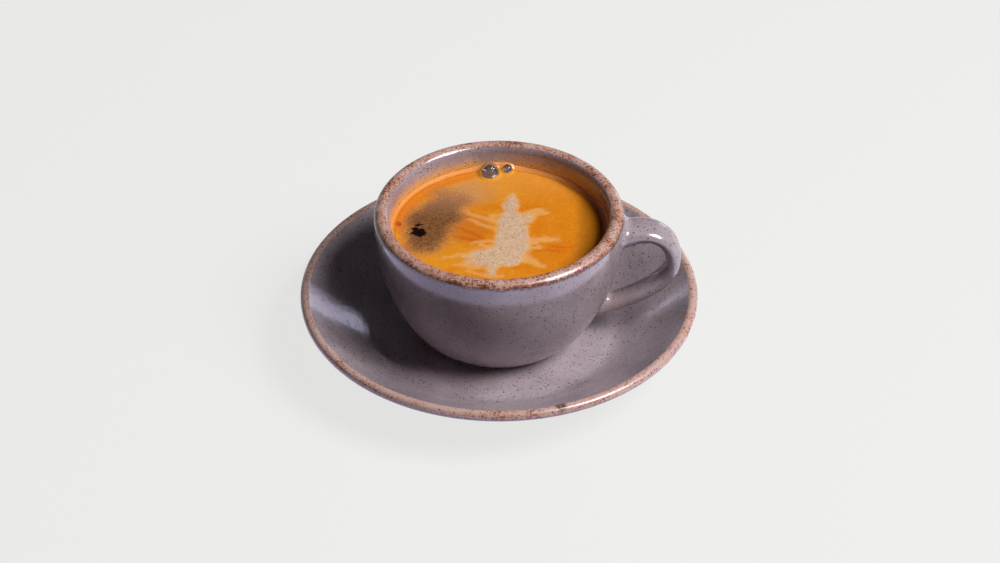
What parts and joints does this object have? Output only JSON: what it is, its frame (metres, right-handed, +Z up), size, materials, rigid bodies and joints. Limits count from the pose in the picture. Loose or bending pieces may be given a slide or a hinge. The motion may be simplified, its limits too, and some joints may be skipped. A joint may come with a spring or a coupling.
{
  "type": "espresso shot in a cup and saucer",
  "caption": "Espresso with a thin golden crema and two bubbles, in a low rounded stoneware cup with a strap handle, standing on its dished saucer.",
  "frame": {"origin": "middle of the saucer's foot ring, on the surface that it stands on", "axes": "+Z up along the axis of saucer and cup, +X along the cup's handle, +Y to the left of the handle seen from above"},
  "size_m": [0.12, 0.12, 0.0486],
  "materials": {
    "saucer_glaze": "glossy mauve-grey glaze with fine dark speckles, breaking to reddish brown at the lip",
    "cup_glaze": "glossy mauve-grey glaze with fine dark speckles, breaking to reddish brown at the lip",
    "coffee": "dark brown liquid, hidden under the crema",
    "crema": "moist golden-orange foam with paler and darker swirls",
    "bubble_film": "clear thin film with sharp highlights"
  },
  "bodies": {
    "root": {"saucer": "saucer_glaze", "cup": "cup_glaze", "coffee": "coffee", "crema": "crema", "bubble_large": "bubble_film", "bubble_small": "bubble_film"}
  },
  "joints": []
}
